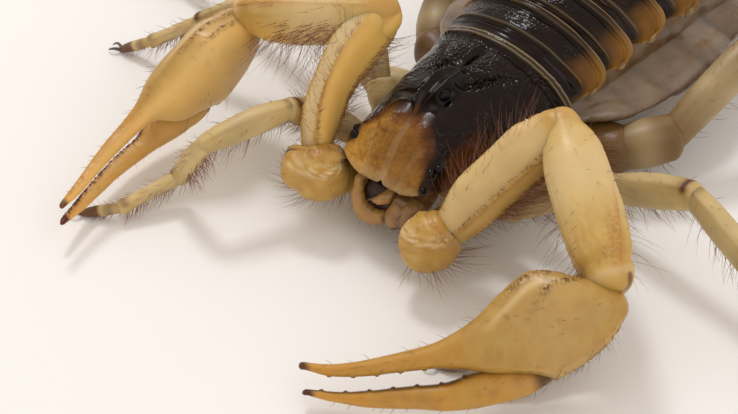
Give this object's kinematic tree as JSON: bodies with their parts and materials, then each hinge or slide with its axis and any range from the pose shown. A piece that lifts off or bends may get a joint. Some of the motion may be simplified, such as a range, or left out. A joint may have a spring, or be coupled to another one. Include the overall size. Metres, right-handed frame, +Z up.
{
  "type": "scorpion specimen",
  "caption": "Life-size desert scorpion standing on eight legs, both claws held forward and the jointed tail raised in an open curve that ends in a sting.",
  "frame": {"origin": "middle of the footprint, on the floor that all eight feet stand on", "axes": "+Z up, the head faces -Y, the animal's left side is +X"},
  "size_m": [0.0838, 0.0906, 0.054],
  "materials": {
    "tergite_cuticle": "glossy, finely granular",
    "eye": "polished",
    "leg_cuticle": "satin, thinly haired",
    "tail_cuticle": "satin, keeled and haired",
    "chela_cuticle": "satin, keeled and haired",
    "pectine_cuticle": "satin",
    "sting": "polished",
    "chelicera_cuticle": "satin"
  },
  "bodies": {
    "root": {"aculeus": "sting", "carapace": "tergite_cuticle", "chelicera_left": "chelicera_cuticle", "chelicera_right": "chelicera_cuticle", "coxosternum": "leg_cuticle", "eye_left": "eye", "eye_right": "eye", "leg1_left_femur": "leg_cuticle", "leg1_left_patella": "leg_cuticle", "leg1_left_tarsus": "leg_cuticle", "leg1_right_femur": "leg_cuticle", "leg1_right_patella": "leg_cuticle", "leg1_right_tarsus": "leg_cuticle", "leg2_left_femur": "leg_cuticle", "leg2_left_patella": "leg_cuticle", "leg2_left_tarsus": "leg_cuticle", "leg2_right_femur": "leg_cuticle", "leg2_right_patella": "leg_cuticle", "leg2_right_tarsus": "leg_cuticle", "leg3_left_femur": "leg_cuticle", "leg3_left_patella": "leg_cuticle", "leg3_left_tarsus": "leg_cuticle", "leg3_right_femur": "leg_cuticle", "leg3_right_patella": "leg_cuticle", "leg3_right_tarsus": "leg_cuticle", "leg4_left_femur": "leg_cuticle", "leg4_left_patella": "leg_cuticle", "leg4_left_tarsus": "leg_cuticle", "leg4_right_femur": "leg_cuticle", "leg4_right_patella": "leg_cuticle", "leg4_right_tarsus": "leg_cuticle", "mesosoma_1": "tergite_cuticle", "mesosoma_2": "tergite_cuticle", "mesosoma_3": "tergite_cuticle", "mesosoma_4": "tergite_cuticle", "mesosoma_5": "tergite_cuticle", "mesosoma_6": "tergite_cuticle", "mesosoma_7": "tergite_cuticle", "metasoma_1": "tail_cuticle", "metasoma_2": "tail_cuticle", "metasoma_3": "tail_cuticle", "metasoma_4": "tail_cuticle", "metasoma_5": "tail_cuticle", "palp_coxa_left": "leg_cuticle", "palp_coxa_right": "leg_cuticle", "palp_femur_left": "leg_cuticle", "palp_femur_right": "leg_cuticle", "palp_finger_left": "chela_cuticle", "palp_finger_right": "chela_cuticle", "palp_hand_left": "chela_cuticle", "palp_hand_right": "chela_cuticle", "palp_patella_left": "leg_cuticle", "palp_patella_right": "leg_cuticle", "palp_trochanter_left": "leg_cuticle", "palp_trochanter_right": "leg_cuticle", "pectine_left": "pectine_cuticle", "pectine_right": "pectine_cuticle", "telson_vesicle": "tail_cuticle"}
  },
  "joints": []
}
